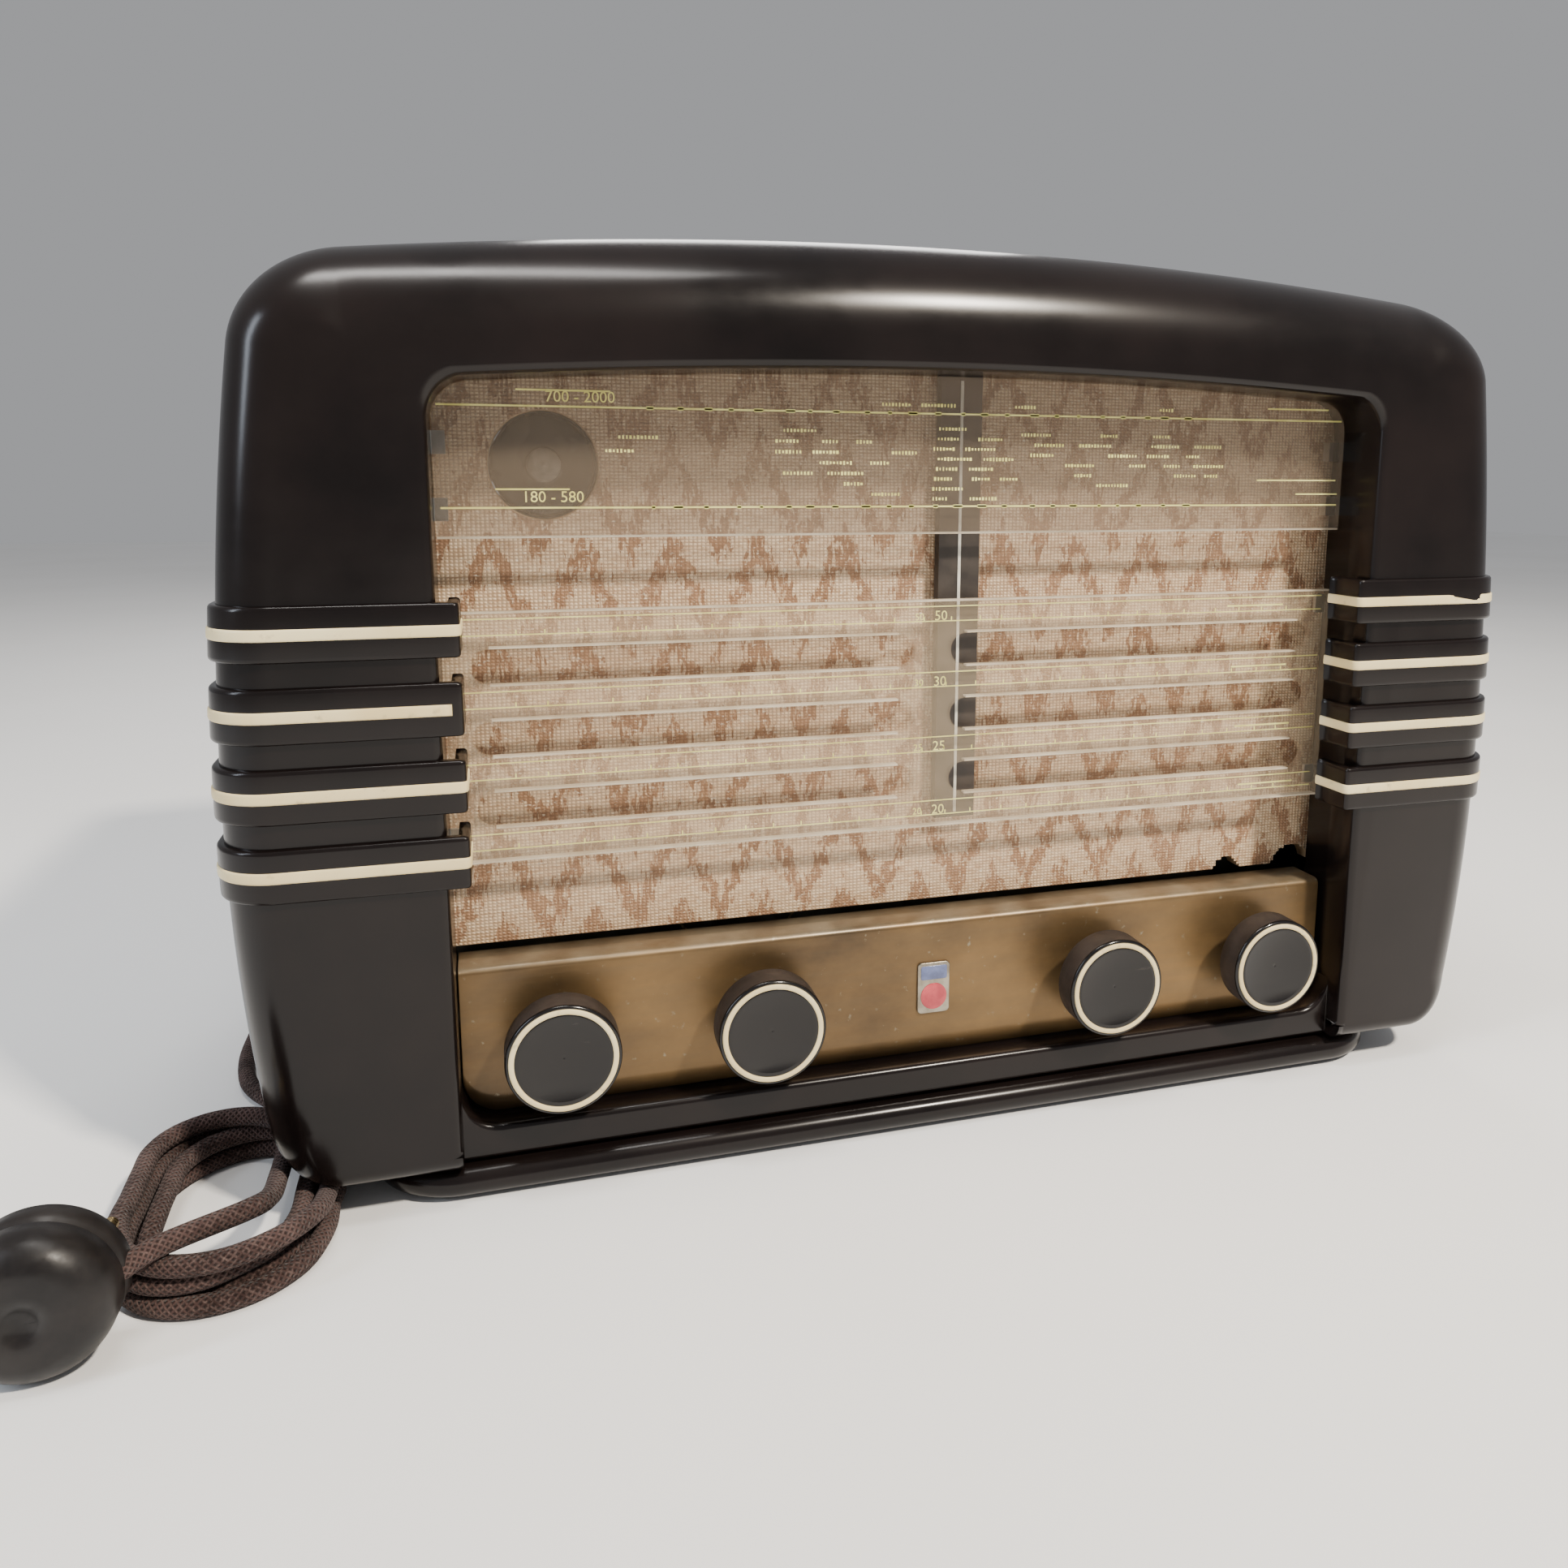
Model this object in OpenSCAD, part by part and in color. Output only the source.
// Tabletop valve radio: moulded cabinet on a plinth, scale window with a sliding pointer,
// four knobs on a sheet-metal fascia, and a coiled mains cord.
// Frame: X to the right, the front faces -Y, Z up. The origin is the centre of the footprint.

/* [Cabinet] */
// Width of the cabinet across its fullest part, without the ribs
body_w = 447; // [430:1:480]
// Height from the table to the crown of the top
body_h = 302; // [290:1:315]
// Depth from the knob faces to the rear edge of the cabinet
depth = 214; // [200:1:230]
// Thickness of the moulded walls
wall = 4; // [3:0.5:6]
// Distance of the front of the side columns behind the knob faces
column_set = 3; // [2:0.5:5]
// How far the ribs stand proud of the columns
rib_proud = 2; // [1:0.5:3]
// Height of one rib
rib_h = 16; // [12:0.5:18]
// Vertical spacing of the ribs
rib_pitch = 23.2; // [21:0.1:25]
// Height of the ivory stripe in each rib
stripe_h = 3.4; // [2:0.2:5]

/* [Window] */
// Width of the window between the columns
window_w = 322; // [300:1:330]
// Height of the sill above the table
sill_z = 22.5; // [18:0.5:26]
// Height of the crown of the window
window_top = 260; // [250:1:264]
// Thickness of the scale glass and of the slotted plate
glass_t = 3; // [2:0.5:4]
// Height of the lower edge of the upper glass
glass_bottom = 207.7; // [200:0.1:215]
// Height of each bar of the slotted plate
bar_h = 11.8; // [9:0.2:14]
// Vertical spacing of the bars of the slotted plate
bar_pitch = 22.9; // [20:0.1:25]

/* [Controls] */
// Diameter of a knob
knob_d = 36; // [30:1:42]
// Depth of a knob
knob_t = 11.5; // [9:0.5:16]
// Height of the knob axes above the table
knob_z = 47; // [42:1:52]
// Distance of the outer knobs from the middle
knob_outer_x = 129.6; // [120:0.2:135]
// Distance of the inner knobs from the middle
knob_inner_x = 62.8; // [55:0.2:75]
// Radius of the cord drum, which sets the pointer's travel
drum_r = 72; // [60:1:74]

/* [Mains cord] */
// Diameter of the textile mains cord
cord_d = 6; // [5:0.5:7]

/* [Hidden] */
$fn = 48;
eps = 0.01;

bakelite = [0.13, 0.10, 0.09];
ivory = [0.93, 0.87, 0.70];
steel = [0.62, 0.62, 0.60];
brass = [0.72, 0.58, 0.30];

// Depths, measured along Y from the knob faces
front_y = -depth / 2;
rear_y = depth / 2;
column_y = front_y + column_set;
rail_y = front_y + 11;
plate_y = front_y + 20;
glass_y = front_y + 23;
band_y = front_y + 25;
flange_y = front_y + 29;
pointer_y = front_y + 30.4;
cloth_y = front_y + 36;
baffle_y = front_y + 37;
baffle_t = 7;
board_back_y = baffle_y + baffle_t;
rail_rod_y = front_y + 46.5;
cord_y = front_y + 51;
spindle_cord_y = front_y + 55;
chassis_y = front_y + 62;
chassis_back_y = front_y + 190;
panel_y = rear_y - 10;
panel_t = 3;
panel_face_y = panel_y + panel_t;

// Cabinet outline, seen from the front
body_z = 12;
full_z = 117;
half_w = body_w / 2;
crown_r = 1750;
upper_r = 1040;
lower_r = 600;
top_corner_r = 34;
foot_corner_r = 22;
upper_cx = half_w - upper_r;
lower_cx = half_w - lower_r;
crown_cz = body_h - crown_r;
// Roll of the front edge at the sides, the top and the foot
roll_side = 16;
roll_top = 32;
roll_foot = 6;

// Right-hand meeting point of two circles, centred at [0, a] and at [b, c]
function meet(a, ra, b, c, rb) =
  let (d = norm([b, c - a]), u = [b, c - a] / d, m = (d * d + ra * ra - rb * rb) / (2 * d))
  [0, a] + m * u + sqrt(ra * ra - m * m) * [u[1], -u[0]];

top_corner = meet(crown_cz, crown_r - top_corner_r, upper_cx, full_z, upper_r - top_corner_r);
foot_cz = body_z + foot_corner_r;
foot_corner = [lower_cx + sqrt(pow(lower_r - foot_corner_r, 2) - pow(foot_cz - full_z, 2)), foot_cz];

// Angles of the outline's normal at which one arc hands over to the next
foot_turn = atan2(foot_corner[1] - full_z, foot_corner[0] - lower_cx);
side_turn = atan2(top_corner[1] - full_z, top_corner[0] - upper_cx);
crown_turn = atan2(top_corner[1] - crown_cz, top_corner[0]);

function steps(a, b, n) = [for (i = [0:n - 1]) a + (b - a) * i / n];
half_turn = concat(
  steps(-90, foot_turn, 5), steps(foot_turn, 0, 3), steps(0, side_turn, 4),
  steps(side_turn, crown_turn, 6), steps(crown_turn, 90, 5)
);
turns = concat(half_turn, [90], [for (i = [len(half_turn) - 1:-1:0]) 180 - half_turn[i]]);

// Point of the outline where the outward normal has the angle f (right half only)
function edge(f) =
  f < foot_turn ? foot_corner + foot_corner_r * [cos(f), sin(f)]
  : f < 0 ? [lower_cx, full_z] + lower_r * [cos(f), sin(f)]
  : f < side_turn ? [upper_cx, full_z] + upper_r * [cos(f), sin(f)]
  : f < crown_turn ? top_corner + top_corner_r * [cos(f), sin(f)]
  : [0, crown_cz] + crown_r * [cos(f), sin(f)];
function outline(f, inset) =
  let (g = f > 90 ? 180 - f : f, p = edge(g) - inset * [cos(g), sin(g)])
  [f > 90 ? -p[0] : p[0], p[1]];
function roll(f) =
  roll_side + ((sin(f) > 0 ? roll_top : roll_foot) - roll_side) * sin(f) * sin(f);

// Closed shell lofted through rings of equal length, first ring at the front
module loft(rings) {
  n = len(rings[0]);
  last = len(rings) - 1;
  polyhedron(
    [for (ring = rings) each ring],
    concat(
      [[for (i = [n - 1:-1:0]) i]],
      [for (k = [0:last - 1], i = [0:n - 1])
        [k * n + i, k * n + (i + 1) % n, (k + 1) * n + (i + 1) % n, (k + 1) * n + i]],
      [[for (i = [0:n - 1]) last * n + i]]
    ),
    convexity = 8
  );
}

// Cabinet body, inset on all sides, from its rolled front edge back to y = back
module body_form(inset, back) {
  loft(concat(
    [for (t = [90:-22.5:0])
      [for (f = turns)
        let (r = roll(f) - inset, p = outline(f, inset + r * (1 - cos(t))))
        [p[0], column_y + inset + r * (1 - sin(t)), p[1]]]],
    [[for (f = turns) let (p = outline(f, inset)) [p[0], back, p[1]]]]
  ));
}

// Outline of the window, seen from the front, grown by g
function arc(c, r, a, b, n) = [for (i = [0:n]) c + r * [cos(a + (b - a) * i / n), sin(a + (b - a) * i / n)]];
window_drop = 6;
function window_crown(x, g) = window_top + g - window_drop * pow(2 * x / window_w, 2);
module window_shape(g) {
  w = window_w / 2 + g;
  r = 12;
  shoulder = window_crown(w, g);
  polygon(concat(
    arc([w - r, sill_z - g + r], r, -90, 0, 6),
    arc([w - r, shoulder - r + 1], r, 0, 80, 6),
    [for (i = [7:-1:-7]) [i / 8 * (w - r), window_crown(i / 8 * (w - r), g)]],
    arc([r - w, shoulder - r + 1], r, 100, 180, 6),
    arc([r - w, sill_z - g + r], r, 180, 270, 6)
  ));
}
// A shape drawn in X and Z, extruded from y = a to y = b
module slab(a, b) {
  translate([0, b, 0])
    rotate([90, 0, 0])
      linear_extrude(b - a)
        children();
}

rib_z = [for (i = [0:3]) 182.7 - i * rib_pitch];
rib_inner_x = window_w / 2 - 6.5;
rib_back_y = front_y + 78;
module rib_bands(h, inner_x, back) {
  for (z = rib_z, s = [-1, 1])
    translate([s > 0 ? inner_x : -inner_x - 100, front_y - 10, z - h / 2])
      cube([100, back - front_y + 10, h]);
}
module stripes(side) {
  color(ivory)
    intersection() {
      union() {
        difference() {
          body_form(-rib_proud - 0.4, rib_back_y);
          body_form(0.8 - rib_proud, rear_y);
        }
        for (z = rib_z)
          translate([side * (rib_inner_x + 0.4) - 0.8, column_y - rib_proud - 0.4, z - stripe_h])
            cube([1.6, 16, 2 * stripe_h]);
      }
      rib_bands(stripe_h, rib_inner_x - 0.4, rib_back_y - 4);
      translate([side > 0 ? 0 : -300, front_y - 20, 0])
        cube([300, 200, body_h]);
    }
}

module screw(r, length, head_r, head_t) {
  cylinder(r = r, h = length + eps);
  translate([0, 0, length])
    cylinder(r = head_r, h = head_t);
}

back_screw_at = [for (x = [-188, 188], z = [60, 232]) [x, z]];
module along_y(p) {
  translate(p)
    rotate([-90, 0, 0])
      children();
}
// The body with its front face cut true
module trued_form(inset, back) {
  difference() {
    body_form(inset, back);
    translate([-300, column_y + inset - 1, 0])
      cube([600, 1.02, 400]);
  }
}
module cabinet() {
  color(bakelite)
    difference() {
      union() {
        trued_form(0, rear_y);
        intersection() {
          body_form(-rib_proud, rib_back_y);
          rib_bands(rib_h, rib_inner_x, rib_back_y);
        }
      }
      difference() {
        trued_form(wall, rear_y + 1);
        slab(front_y, flange_y) window_shape(4);
        for (p = back_screw_at)
          translate([p[0] > 0 ? p[0] - 7 : p[0] - 40, rear_y - 24, p[1] - 7])
            cube([47, 14, 14]);
      }
      difference() {
        slab(front_y, flange_y + 1) window_shape(0);
        for (z = rib_z, s = [-1, 1])
          translate([s * (rib_inner_x + 10) - 10, front_y - 1, z - rib_h / 2])
            cube([20, column_set + 16, rib_h]);
      }
      translate([-window_w / 2, front_y - 5, 0])
        cube([window_w, rail_y - front_y + 5, sill_z + 14]);
      stripes(-1);
      stripes(1);
      for (p = back_screw_at)
        along_y([p[0], rear_y - 22, p[1]])
          cylinder(r = 1.5, h = 14);
      for (p = bolt_at)
        translate([p[0], p[1], body_z - 1])
          cylinder(r = 2.1, h = wall + 2);
    }
}

plinth_half_w = 190;
plinth_r = 28;
plinth_t = body_z - 2.5;
module plinth() {
  front = front_y + 6.5;
  back = rear_y - 8;
  color(bakelite)
    difference() {
      union() {
        hull()
          for (x = [-1, 1], y = [front + plinth_r, back - plinth_r])
            translate([x * (plinth_half_w - plinth_r), y, 1])
              rotate_extrude($fn = 32)
                polygon(concat([[0, 0]], arc([plinth_r - plinth_t / 2, plinth_t / 2], plinth_t / 2, -90, 90, 6),
                  [[0, plinth_t]]));
        translate([8 - plinth_half_w, front + 8, 2])
          cube([2 * plinth_half_w - 16, back - front - 16, body_z - 2]);
      }
      for (p = bolt_at)
        translate([p[0], p[1], 5])
          cylinder(r = 2, h = 10);
    }
}
pad_r = 10;
module felt_pads() {
  color("dimgray")
    for (x = [-165, 165], y = [front_y + 40, rear_y - 40])
      translate([x, y, 0])
        cylinder(r = pad_r, h = 1);
}

gland_at = [-165, 34];
selector_at = [120, 44];
aerial_at = [-60, 44];
module back_panel() {
  color([0.35, 0.25, 0.18])
    difference() {
      slab(panel_y, panel_face_y)
        polygon([for (f = turns) outline(f, wall + 0.4)]);
      for (z = [98:24:242], x = [-150:30:150])
        translate([x - 11, panel_y - 1, z])
          cube([22, panel_t + 2, 6]);
      for (p = back_screw_at)
        along_y([p[0], panel_y - 1, p[1]])
          cylinder(r = 1.8, h = panel_t + 2);
      along_y([gland_at[0], panel_y - 1, gland_at[1]])
        cylinder(r = 7, h = panel_t + 2);
    }
}
module back_screws() {
  color(steel)
    for (p = back_screw_at)
      along_y([p[0], panel_face_y - 12, p[1]])
        screw(1.4, 12, 3.5, 1.8);
}

speaker_at = [88, 165];
speaker_r = 78;
drum_at = [-66, 158];
eye_at = [-128, 230];
eye_r = 16.5;
board_bottom = 74;
board_top = 264;
module baffle_board() {
  color("burlywood")
    difference() {
      translate([-175, baffle_y, board_bottom])
        cube([350, baffle_t, board_top - board_bottom]);
      along_y([speaker_at[0], baffle_y - 1, speaker_at[1]])
        cylinder(r = 68, h = baffle_t + 2);
      along_y([eye_at[0], baffle_y - 1, eye_at[1]])
        cylinder(r = eye_r + 0.5, h = baffle_t + 2);
      foot_notches();
    }
}
// Two small openings at the foot of the cloth: place along the front and radius
foot_notch = [[129.5, 6.5], [159.5, 9.5]];
module foot_notches() {
  for (h = foot_notch)
    along_y([h[0], cloth_y - 1, board_bottom - 2])
      cylinder(r = h[1], h = baffle_t + 3);
}
module grille_cloth() {
  color([0.80, 0.68, 0.50])
    difference() {
      translate([-168, cloth_y, board_bottom])
        cube([336, baffle_y - cloth_y, board_top - 2 - board_bottom]);
      along_y([eye_at[0], cloth_y - 1, eye_at[1]])
        cylinder(r = eye_r + 0.5, h = 3);
      foot_notches();
    }
}

module scale_glass() {
  color([0.85, 0.9, 0.85, 0.35])
    intersection() {
      slab(glass_y, glass_y + glass_t)
        window_shape(-0.3);
      translate([-200, front_y, glass_bottom])
        cube([400, 60, 100]);
    }
}
bar_z = [for (i = [0:3]) 179.3 - i * bar_pitch];
bridge_w = 13;
slot_end_x = 153;
module band_plate() {
  low = bar_z[3] - bar_h / 2;
  gap = bar_pitch - bar_h;
  color([0.9, 0.92, 0.85, 0.35])
    difference() {
      translate([0.3 - window_w / 2, band_y, low])
        cube([window_w - 0.6, glass_t, 3 * bar_pitch + bar_h]);
      for (i = [1:3], s = [-1, 1]) {
        z = bar_z[i] + bar_pitch / 2;
        for (x = [bridge_w / 2 + gap / 2, slot_end_x - gap / 2])
          along_y([s * x, band_y - 1, z])
            cylinder(r = gap / 2, h = glass_t + 2);
        translate([s * (bridge_w / 2 + slot_end_x) / 2, band_y + glass_t / 2, z])
          cube([slot_end_x - bridge_w / 2 - gap, glass_t + 2, gap], center = true);
      }
    }
}
module glass_clips() {
  color(steel)
    for (s = [-1, 1]) {
      for (z = [213, 233])
        translate([s * (window_w / 2 - 2) - 2, glass_y + glass_t, z])
          cube([4, 3.5, 7]);
      for (z = [109, 176])
        translate([s * (window_w / 2 - 2) - 2, band_y + glass_t, z])
          cube([4, 1.5, 7]);
    }
}

plate_top = 72;
plate_t = 1.2;
module control_plate() {
  color([0.45, 0.36, 0.24])
    difference() {
      union() {
        intersection() {
          slab(plate_y, plate_y + plate_t)
            window_shape(-0.4);
          translate([-200, front_y, 0])
            cube([400, 60, plate_top]);
        }
        translate([0.4 - window_w / 2, plate_y, plate_top - plate_t])
          cube([window_w - 0.8, cloth_y - 0.6 - plate_y, plate_t]);
      }
      for (x = [-knob_outer_x, -knob_inner_x, knob_inner_x, knob_outer_x])
        along_y([x, plate_y - 1, knob_z])
          cylinder(r = 4.5, h = 4);
    }
}
badge_w = 12;
badge_h = 19;
module badge() {
  color([0.6, 0.12, 0.14])
    translate([-badge_w / 2, plate_y - 1.4, knob_z - badge_h / 2])
      cube([badge_w, 1.4, badge_h]);
}

pointer_x = 11;
pointer_w = 15;
pointer_foot = 106;
rod_r = 1.5;
rod_z = 270;
pulley_r = 9;
pulley_at = [[-150, 272], [165, 272]];
pin_r = 2;
run = 0.06;
module pointer_rail() {
  color(steel) {
    translate([-166, rail_rod_y, rod_z])
      rotate([0, 90, 0])
        cylinder(r = rod_r, h = 346);
    for (i = [0, 1]) {
      s = i * 2 - 1;
      x = pulley_at[i][0];
      translate([x - 12 + 5 * s, board_back_y, 250])
        cube([24, 1.2, 30]);
      translate([x + s * 16 - 1.5, board_back_y, rod_z - 4])
        cube([3, 6, 8]);
      along_y([x, board_back_y, pulley_at[i][1]])
        cylinder(r = pin_r, h = 10.5);
    }
  }
}
module pointer_bar() {
  arm = 266;
  color([0.22, 0.19, 0.16])
    translate([pointer_x - pointer_w / 2, 0, 0])
      difference() {
        union() {
          translate([0, pointer_y, pointer_foot])
            cube([pointer_w, 4, arm + 9 - pointer_foot]);
          translate([0, pointer_y, arm])
            cube([pointer_w, rail_rod_y + 2.8 - pointer_y, 9]);
        }
        translate([-1, rail_rod_y, rod_z])
          rotate([0, 90, 0])
            cylinder(r = rod_r + run, h = pointer_w + 2);
      }
}
module pointer_hairline() {
  color("white")
    translate([pointer_x - 0.5, pointer_y - 0.4, pointer_foot + 2])
      cube([1, 0.4, 151]);
}

// Normal of the tangent from circle a to circle b: side +1 or -1, and crossing it or not
function tangent(a, ra, b, rb, side, cross) =
  let (d = norm(b - a), u = (b - a) / d, k = (ra - (cross ? -rb : rb)) / d)
  k * u + side * sqrt(1 - k * k) * [-u[1], u[0]];
function heading(n) = atan2(n[1], n[0]);
// Stations of a cord laid round a wheel: centre, radius, angles, which way it turns, depths
function lap(c, r, a, b, side, y0, y1) =
  let (n = ceil(abs(b - a) / (r > 20 ? 7.5 : 20)))
  [for (k = [0:n])
    let (t = k / n, at = a + (b - a) * t, out = [cos(at), sin(at)])
    [c[0] + r * out[0], y0 + (y1 - y0) * t, c[1] + r * out[1], side * out[0], side * out[1]]];
// Closed round cord through the stations, straight from one wheel to the next
module belt(path, r) {
  m = 8;
  n = len(path);
  points = [for (p = path, j = [0:m - 1])
    let (c = r * cos(j * 360 / m), s = r * sin(j * 360 / m))
    [p[0] + c * p[3], p[1] + s, p[2] + c * p[4]]];
  faces = [for (i = [0:n - 1], j = [0:m - 1])
    let (a = i * m, b = (i + 1) % n * m, k = (j + 1) % m)
    [a + j, b + j, b + k, a + k]];
  polyhedron(points, faces);
}
pull_r = 0.5;
spindle_at = [-knob_inner_x, knob_z];
spindle_r = 5;
module pointer_cord() {
  left = tangent(pulley_at[0], pulley_r, drum_at, drum_r, -1, true);
  right = tangent(pulley_at[1], pulley_r, drum_at, drum_r, 1, true);
  near = cord_y - 0.6;
  far = cord_y + 0.6;
  down = tangent(drum_at, drum_r, spindle_at, spindle_r, -1, false);
  up = tangent(drum_at, drum_r, spindle_at, spindle_r, 1, false);
  color("khaki") {
    belt(concat(
      lap(pulley_at[0], pulley_r, (heading(left) + 360) % 360, 90, 1, far, far),
      lap(pulley_at[1], pulley_r, 90, heading(right), 1, far, near),
      lap(drum_at, drum_r, (heading(right) + 180) % 360, (heading(left) + 180) % 360 + 360, -1,
        near, far)), pull_r);
    belt(concat(
      lap(drum_at, drum_r, (heading(down) + 360) % 360, heading(up), 1,
        spindle_cord_y, spindle_cord_y),
      lap(spindle_at, spindle_r, heading(up), (heading(down) + 360) % 360 - 360, 1,
        spindle_cord_y, spindle_cord_y)), pull_r);
  }
}

// A grooved wheel turning about Y: bore, rim radius and the depth of the groove for a cord
module pulley(c) {
  along_y([c[0], cord_y - 1.8, c[1]])
    rotate_extrude()
      polygon([[pin_r + run, 0], [pulley_r + 1.5, 0], [pulley_r - 0.9, 1], [pulley_r - 0.9, 2.6],
        [pulley_r + 1.5, 3.6], [pin_r + run, 3.6]]);
}
rotor_shaft_r = 4;
module cord_drum() {
  color([0.75, 0.72, 0.62])
    along_y([drum_at[0], cord_y - 2.2, drum_at[1]])
      difference() {
        rotate_extrude($fn = 96)
          polygon([[rotor_shaft_r, 0], [9, 0], [9, 2.5], [drum_r - 8, 2.5], [drum_r - 8, 0],
            [drum_r + 1, 0], [drum_r - 1, 1.2], [drum_r - 1, 3.2], [drum_r + 1, 4.2], [drum_r - 1, 5.2],
            [drum_r - 1, 7.2], [drum_r + 1, 8.2], [drum_r - 8, 8.2], [drum_r - 8, 5], [9, 5], [9, 8.2],
            [rotor_shaft_r, 8.2]]);
        for (a = [0:60:300])
          rotate([0, 0, a])
            translate([37, 0, -1])
              cylinder(r = 14, h = 12);
      }
}
gang_y = chassis_y + 8;
gang_len = 62;
vane_r = 22;
vane_pitch = 4;
vane_t = 0.8;
module half_disc(r, h) {
  difference() {
    cylinder(r = r, h = h);
    translate([-r - 1, -r - 1, -1])
      cube([r + 1, 2 * r + 2, h + 2]);
  }
}
vane_y = [for (g = [0, 1], k = [0:5]) gang_y + 6 + g * 28 + k * vane_pitch];
module tuning_rotor() {
  color(brass) {
    along_y([drum_at[0], cord_y - 4, drum_at[1]])
      cylinder(r = rotor_shaft_r, h = gang_y + gang_len + 4 - cord_y);
    for (y = vane_y)
      along_y([drum_at[0], y, drum_at[1]])
        rotate([0, 0, 90])
          half_disc(vane_r, vane_t);
  }
}
gang_top = drum_at[1] + 26;
chassis_top = 78;
module tuning_frame() {
  w = 58;
  color(steel)
    translate([drum_at[0] - w / 2, 0, 0])
      difference() {
        union() {
          for (y = [gang_y, gang_y + gang_len - 2])
            translate([0, y, chassis_top])
              cube([w, 2, gang_top - chassis_top]);
          translate([0, gang_y, chassis_top + 50])
            cube([w, gang_len, 2]);
          translate([w - 2, gang_y, chassis_top + 50])
            cube([2, gang_len, gang_top - chassis_top - 50]);
          for (g = [0, 1], k = [0:4])
            translate([w / 2 + 6, gang_y + 6 + g * 28 + (k + 0.5) * vane_pitch, chassis_top + 58])
              cube([w / 2 - 7, vane_t, 44]);
        }
        along_y([w / 2, gang_y - 1, drum_at[1]])
          cylinder(r = rotor_shaft_r + run, h = gang_len + 2);
      }
}

// A knob about Y: dished face, groove for its ring, skirt and collar, blind bore for the shaft
shaft_r = 3;
ring_in = 15.1;
ring_out = 16.9;
ring_t = 1.6;
module knob(x) {
  r = knob_d / 2;
  color(bakelite)
    along_y([x, front_y, knob_z])
      rotate_extrude($fn = 96)
        polygon(concat([[0, 2.4], [5, 2.2], [9, 1.6], [12.5, 0.9], [ring_in, 0.3], [ring_in, ring_t],
          [ring_out, ring_t], [ring_out, 0.4]], arc([r - 1.3, 1.3], 0.9, -60, 0, 3),
          [[r, knob_t - 1], [r - 0.6, knob_t], [8, knob_t], [8, knob_t + 5], [shaft_r + 0.02, knob_t + 5],
          [shaft_r + 0.02, 5], [0, 5]]));
}
module knob_ring(x) {
  color(ivory)
    along_y([x, front_y, knob_z])
      rotate_extrude($fn = 96)
        polygon([[ring_in, 0.3], [ring_in + 0.5, 0], [ring_out - 0.5, 0], [ring_out, 0.3],
          [ring_out, ring_t], [ring_in, ring_t]]);
}
module shaft(x, length) {
  color(brass)
    along_y([x, front_y + 5, knob_z])
      cylinder(r = shaft_r, h = length);
}
module bushed_can(x, can_r, can_t) {
  along_y([x, 0, knob_z])
    difference() {
      union() {
        translate([0, 0, chassis_y - 6])
          cylinder(r = 4.8, h = 8);
        translate([0, 0, chassis_y + 1.5])
          cylinder(r = can_r, h = can_t);
      }
      translate([0, 0, chassis_y - 7])
        cylinder(r = shaft_r + run, h = 40);
    }
}
module volume_control() {
  color([0.3, 0.28, 0.26]) {
    bushed_can(-knob_outer_x, 14, 12);
    translate([-knob_outer_x - 9, chassis_y + 30, knob_z - 9])
      cube([18, 12, 18]);
    translate([-knob_outer_x + 9, chassis_y + 10, knob_z - 4])
      cube([2, 22, 8]);
  }
}
module tone_control() {
  color([0.3, 0.28, 0.26])
    bushed_can(knob_inner_x, 14, 12);
}
module band_switch() {
  color([0.55, 0.35, 0.2]) {
    bushed_can(knob_outer_x, 17, 4);
    for (y = [12, 34]) {
      along_y([knob_outer_x, chassis_y + y, knob_z])
        difference() {
          cylinder(r = 19, h = 2);
          translate([0, 0, -1])
            cylinder(r = 8.2, h = 4);
        }
    }
    for (s = [-1, 1])
      along_y([knob_outer_x + 14 * s, chassis_y + 1.5, knob_z])
        cylinder(r = 1.6, h = 38);
  }
}
module band_shaft() {
  shaft(knob_outer_x, 97);
  color("saddlebrown")
    for (y = [12, 34])
      along_y([knob_outer_x, chassis_y + y, knob_z])
        cylinder(r = 7.8, h = 2);
}
module tuning_spindle() {
  shaft(-knob_inner_x, 70);
  color(brass)
    along_y([-knob_inner_x, spindle_cord_y - 2, knob_z])
      rotate_extrude()
        polygon([[0, 0], [spindle_r + 1, 0], [spindle_r - 0.9, 1], [spindle_r - 0.9, 3],
          [spindle_r + 1, 4], [0, 4]]);
}

chassis_half = 184;
floor_z = body_z + wall;
bolt_at = [for (x = [-176, 176], y = [chassis_y + 12, chassis_back_y - 14]) [x, y]];
module chassis() {
  t = 1.5;
  long = chassis_back_y - chassis_y;
  color(steel)
    difference() {
      union() {
        difference() {
          translate([-chassis_half, chassis_y, floor_z])
            cube([2 * chassis_half, long, chassis_top - floor_z]);
          translate([t - chassis_half, chassis_y + t, floor_z - 1])
            cube([2 * (chassis_half - t), long - 2 * t, chassis_top - floor_z + 1 - t]);
        }
        for (s = [-1, 1])
          translate([s * (chassis_half - 8) - 8, chassis_y + t / 2, floor_z])
            cube([16, long - t, t]);
      }
      for (x = [-knob_outer_x, knob_inner_x, knob_outer_x])
        along_y([x, chassis_y - 1, knob_z])
          cylinder(r = 5, h = 4);
      along_y([-knob_inner_x, chassis_y - 1, knob_z])
        cylinder(r = shaft_r + run, h = 4);
      for (p = bolt_at)
        translate([p[0], p[1], floor_z - 1])
          cylinder(r = 2.1, h = 4);
    }
}
module chassis_bolts() {
  color(steel)
    for (p = bolt_at)
      translate([p[0], p[1], 6])
        screw(1.9, floor_z + 1.5 - 6, 4.5, 3);
}

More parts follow.
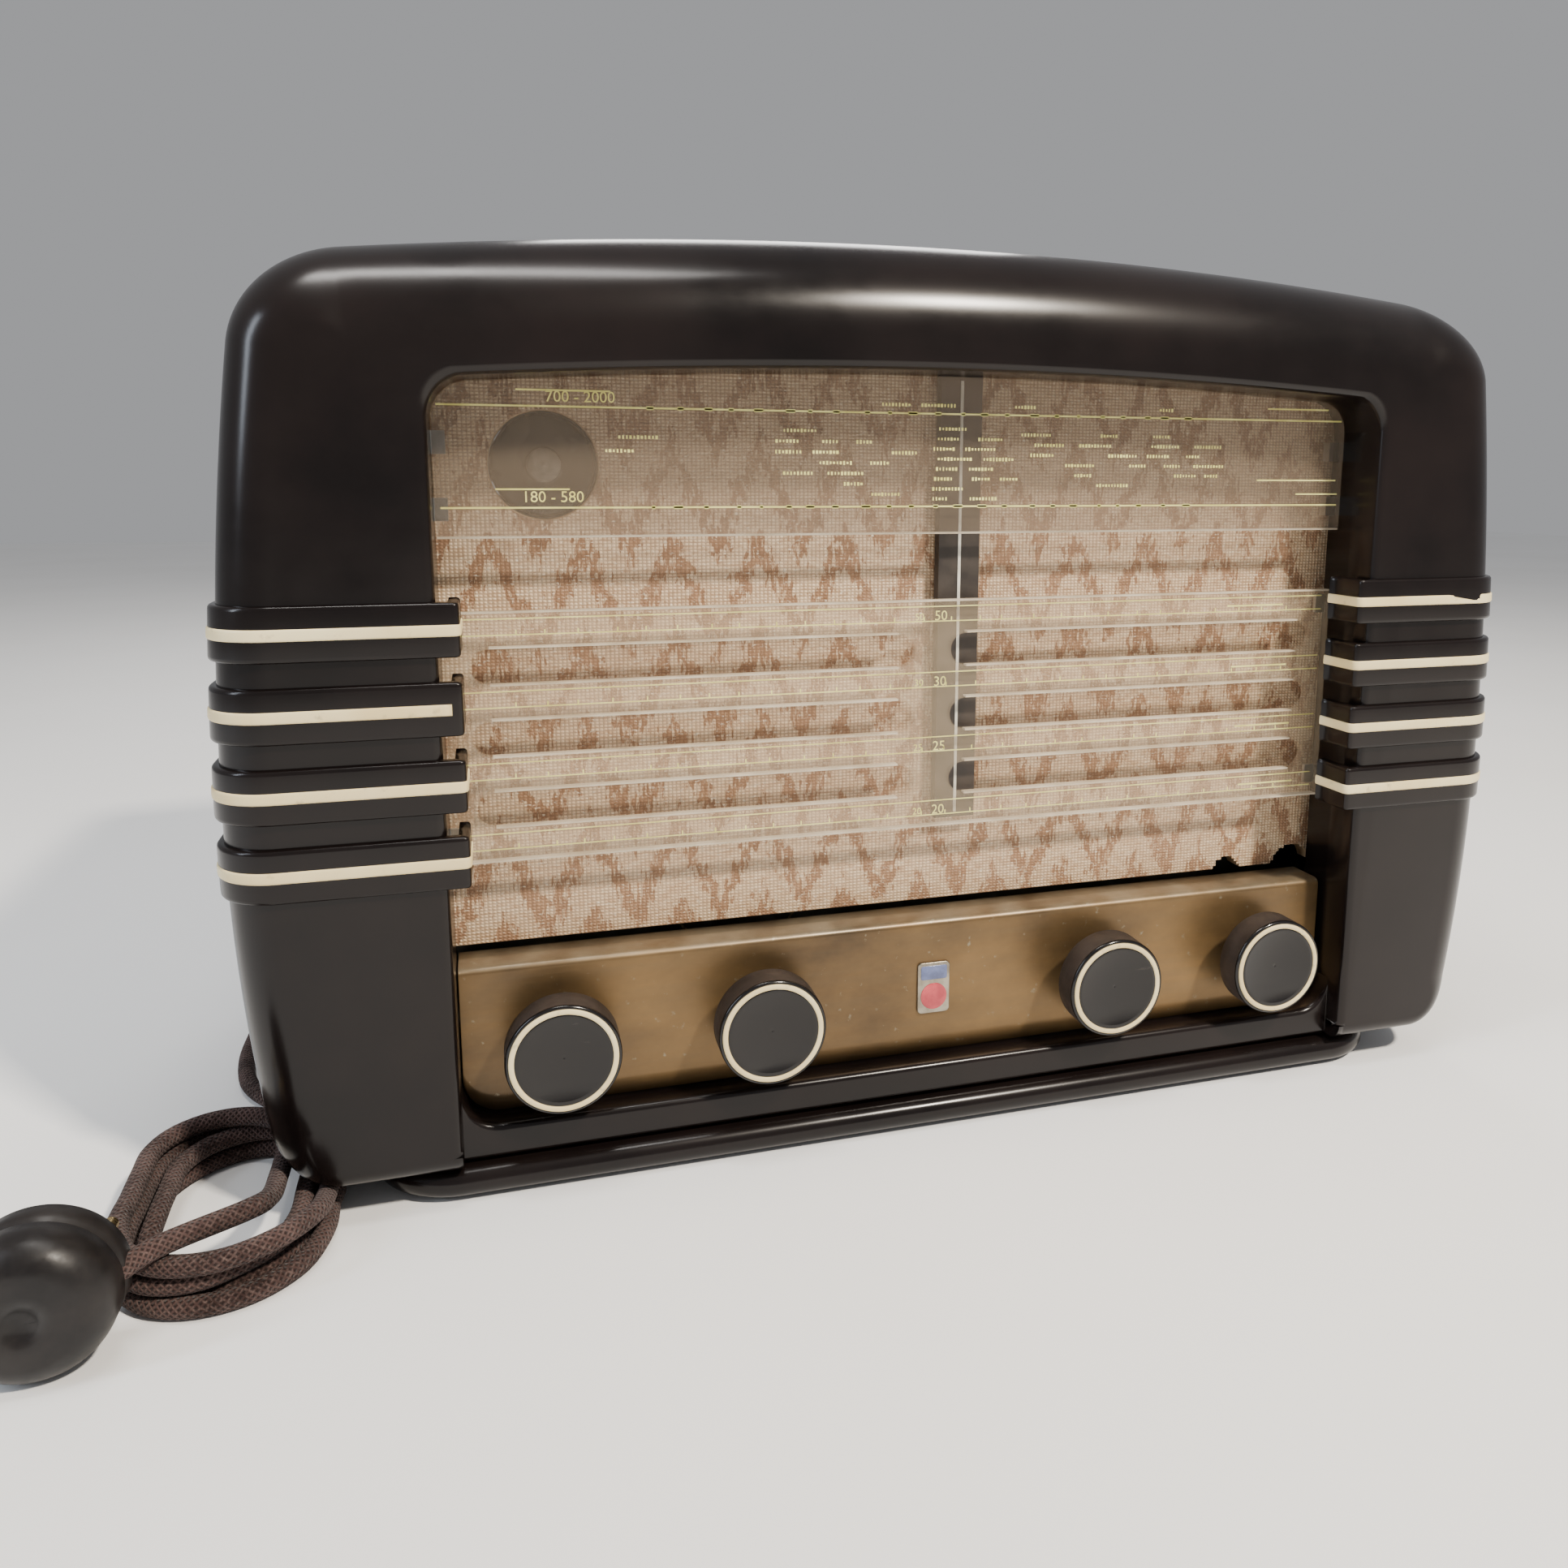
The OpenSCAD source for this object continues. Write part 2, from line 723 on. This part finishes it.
module block(c, size) {
  translate([c[0] - size[0] / 2, front_y + c[1] - size[1] / 2, chassis_top])
    cube(size);
}
module mains_transformer() {
  c = [144, 158];
  color([0.25, 0.24, 0.23]) {
    translate([0, 0, 8])
      block(c, [76, 34, 62]);
    block(c, [76, 50, 8]);
  }
  color("peru")
    translate([0, 0, 14])
      block(c, [46, 58, 50]);
}
module output_transformer() {
  c = [10, 112];
  color([0.25, 0.24, 0.23])
    block(c, [44, 16, 36]);
  color("peru")
    translate([0, 0, 6])
      block(c, [26, 30, 24]);
}
module electrolytic_can() {
  color([0.78, 0.78, 0.76])
    translate([8, front_y + 160, chassis_top])
      rotate_extrude()
        polygon([[0, 0], [17, 0], [17, 70], [15.5, 72], [0, 72]]);
}
module if_cans() {
  color([0.78, 0.78, 0.76])
    for (c = [[-164, 92], [-72, 166]])
      block(c, [34, 34, 78]);
}
// Valves stand at these places on the chassis, height of the bulb last
valve_at = [[-122, 92, 86], [-120, 160, 86], [-30, 160, 82], [80, 162, 104]];
module valves() {
  color([0.55, 0.12, 0.08])
    for (v = valve_at)
      translate([v[0], front_y + v[1], chassis_top + 7])
        rotate_extrude()
          polygon(concat([[0, 0], [16, 0], [16, 14], [17.5, 22]],
            arc([17.5 - 14, v[2] - 21], 14, 0, 90, 6), [[0, v[2] - 7]]));
}
module valve_sockets() {
  color([0.2, 0.15, 0.12])
    for (v = valve_at)
      translate([v[0], front_y + v[1], chassis_top])
        cylinder(r = 19, h = 7);
}
module magic_eye() {
  color([0.2, 0.24, 0.2])
    along_y([eye_at[0], cloth_y + 0.6, eye_at[1]])
      rotate_extrude()
        polygon([[0, -2], [3, -2], [3, 0], [eye_r - 2, 0], [eye_r, 2], [eye_r, 62], [14, 66], [14, 84],
          [0, 84]]);
}
module eye_holder() {
  color(steel)
    along_y([eye_at[0], board_back_y, eye_at[1]])
      difference() {
        union() {
          cylinder(r = 20, h = 8);
          translate([-26, -5, 0])
            cube([52, 10, 1.2]);
        }
        translate([0, 0, -1])
          cylinder(r = eye_r + 0.3, h = 10);
      }
}
module scale_lamps() {
  for (x = [-150, 150])
    translate([x, 0, 0]) {
      color("lightyellow")
        translate([0, front_y + 38, 276])
          sphere(r = 5.5, $fn = 32);
      color(brass)
        translate([0, front_y + 38, board_top])
          cylinder(r = 4, h = 8);
    }
}

module about_speaker() {
  along_y([speaker_at[0], board_back_y, speaker_at[1]])
    children();
}
module speaker_basket() {
  color([0.25, 0.25, 0.27])
    about_speaker()
      difference() {
        rotate_extrude($fn = 96)
          polygon([[64, 0], [speaker_r, 0], [speaker_r, 2.5], [72, 2.5], [36, 36], [20, 38], [14, 38],
            [14, 36.5], [34, 34.5], [64, 7]]);
        for (a = [22.5:45:340])
          rotate([0, 0, a])
            translate([51, 0, 12])
              cylinder(r = 11, h = 26);
      }
}
module speaker_magnet() {
  color([0.3, 0.3, 0.33])
    about_speaker()
      difference() {
        translate([0, 0, 38])
          cylinder(r = 34, h = 32);
        translate([0, 0, 37])
          cylinder(r = 13, h = 12);
      }
}
module speaker_cone() {
  color([0.18, 0.16, 0.15])
    about_speaker()
      rotate_extrude($fn = 96)
        polygon([[0, 24], [10, 27], [12, 30], [60, 2.4], [62.5, 2.4], [62.5, 3.6], [60.4, 3.6],
          [12, 32], [12, 44], [11, 44], [11, 30], [9, 28.2], [0, 25.2]]);
}
module voltage_selector() {
  color([0.2, 0.15, 0.12])
    along_y([selector_at[0], panel_face_y, selector_at[1]])
      difference() {
        cylinder(r = 15, h = 5);
        for (a = [0:60:300])
          rotate([0, 0, a])
            translate([9, 0, 2])
              cylinder(r = 1.6, h = 4);
      }
}
module aerial_sockets() {
  color([0.35, 0.2, 0.12])
    difference() {
      translate([aerial_at[0] - 34, panel_face_y, aerial_at[1] - 8])
        cube([68, 4, 16]);
      for (x = [-24, -8, 8, 24])
        along_y([aerial_at[0] + x, panel_face_y + 1, aerial_at[1]])
          cylinder(r = 2, h = 5);
    }
}

// Mains cord: relief, route, coil and plug
cord_r = cord_d / 2;
relief_tip = [gland_at[0], rear_y + 22, gland_at[1]];
module cord_gland() {
  color([0.15, 0.13, 0.12])
    along_y([gland_at[0], panel_y - 2, gland_at[1]])
      rotate_extrude()
        polygon([[0, 0], [9, 0], [9, 2], [6.95, 2], [6.95, 2 + panel_t], [10, 2 + panel_t], [10, 5 + panel_t],
          [7.5, 6 + panel_t], [cord_r + 0.8, rear_y + 22 - panel_y + 2], [0, rear_y + 22 - panel_y + 2]]);
}
hank_at = [-228, -90];
hank_run = 32;
hank_out = 30;
hank_in = 17.5;
cord_route = [
  relief_tip, [-165, 142, 33], [-168, 154, 28], [-176, 164, 18], [-188, 170, 8],
  [-202, 170, 3.2], [-218, 162, 3.2], [-232, 146, 3.2], [-240, 124, 3.2], [-243, 98, 3.2],
  [-244, 70, 3.2], [-244, 42, 3.2], [-243.5, 14, 3.2], [-238, -9, 3.2], [-223, -29, 3.2],
  [-210, -44, 3.2], [-203.5, -58, 3.2]
];
// Cubic through four points of the route, as rings laid square to it
function spline(a, b, c, d, t) =
  0.5 * (2 * b + (c - a) * t + (2 * a - 5 * b + 4 * c - d) * t * t + (3 * b - a - 3 * c + d) * t * t * t);
function along(p, n) =
  let (last = len(p) - 1)
  concat([for (i = [0:last - 1], k = [0:n - 1])
    spline(p[max(i - 1, 0)], p[i], p[i + 1], p[min(i + 2, last)], k / n)], [p[last]]);
function unit(v) = v / norm(v);
module tube(route, r) {
  p = along(route, 2);
  last = len(p) - 1;
  sides = 10;
  rings = [for (i = [0:last])
    let (d = unit(p[min(i + 1, last)] - p[max(i - 1, 0)]),
         a = unit(cross(d, abs(d[2]) > 0.9 ? [1, 0, 0] : [0, 0, 1])), b = cross(d, a))
    [for (j = [sides - 1:-1:0]) p[i] + r * (cos(j * 360 / sides) * a + sin(j * 360 / sides) * b)]];
  loft(rings);
}
module mains_cord() {
  color([0.40, 0.31, 0.30])
    tube(cord_route, cord_r);
}
// Oval ring of wound cord, lying flat
module oval(r) {
  hull()
    for (y = [-hank_run / 2, hank_run / 2])
      translate([hank_at[0], hank_at[1] + y])
        circle(r = r, $fn = 40);
}
module oval_ring(z0, z1, edge) {
  translate([0, 0, z0])
    linear_extrude(z1 - z0)
      difference() {
        oval(hank_out - edge);
        oval(hank_in + edge);
      }
}
module cord_hank() {
  color([0.40, 0.31, 0.30]) {
    oval_ring(0, 12, 0);
    intersection() {
      oval_ring(12, 18, 0.5);
      union() {
        translate([hank_at[0] - 50, hank_at[1] - 60, 0])
          cube([64, 120, 30]);
        translate([hank_at[0] - 50, hank_at[1] - 60, 0])
          cube([100, 42, 30]);
      }
    }
  }
}
plug_at = [-264, -143, 20];
plug_r = 20;
module plug_lead() {
  color([0.40, 0.31, 0.30])
    tube([[-226, -124.5, 20], [-234, -128.5, 21.4], [-241, -133.5, 21.2], [-247, -139.5, 20.4]], cord_r);
}
module mains_plug() {
  color([0.12, 0.10, 0.10])
    along_y([plug_at[0], plug_at[1] - 11, plug_at[2]])
      rotate_extrude($fn = 64)
        polygon(concat([[0, 0], [8, 0.4]], arc([plug_r - 9, 9], 9, -75, 0, 6),
          [[plug_r, 20], [plug_r - 1, 21], [0, 21]]));
}
module plug_pins() {
  color(brass)
    for (s = [-1, 1])
      along_y([plug_at[0] + s * 9.5, plug_at[1] + 10, plug_at[2]])
        cylinder(r = 2, h = 19);
}

cabinet();
stripes(-1);  // stripes_left
stripes(1);  // stripes_right
plinth();
felt_pads();
back_panel();
back_screws();
baffle_board();
grille_cloth();
scale_glass();
band_plate();
glass_clips();
control_plate();
badge();
pointer_rail();
pointer_bar();
pointer_hairline();
pointer_cord();
cord_drum();
tuning_rotor();
tuning_frame();
color(brass) pulley(pulley_at[0]);  // pulley_left
color(brass) pulley(pulley_at[1]);  // pulley_right
tuning_spindle();
knob(-knob_inner_x);  // knob_tuning
knob_ring(-knob_inner_x);  // ring_tuning
volume_control();
shaft(-knob_outer_x, 70);  // volume_shaft
knob(-knob_outer_x);  // knob_volume
knob_ring(-knob_outer_x);  // ring_volume
tone_control();
shaft(knob_inner_x, 70);  // tone_shaft
knob(knob_inner_x);  // knob_tone
knob_ring(knob_inner_x);  // ring_tone
band_switch();
band_shaft();
knob(knob_outer_x);  // knob_band
knob_ring(knob_outer_x);  // ring_band
chassis();
chassis_bolts();
mains_transformer();
output_transformer();
electrolytic_can();
if_cans();
valves();
valve_sockets();
magic_eye();
eye_holder();
scale_lamps();
speaker_basket();
speaker_magnet();
speaker_cone();
voltage_selector();
aerial_sockets();
cord_gland();
mains_cord();
cord_hank();
plug_lead();
mains_plug();
plug_pins();
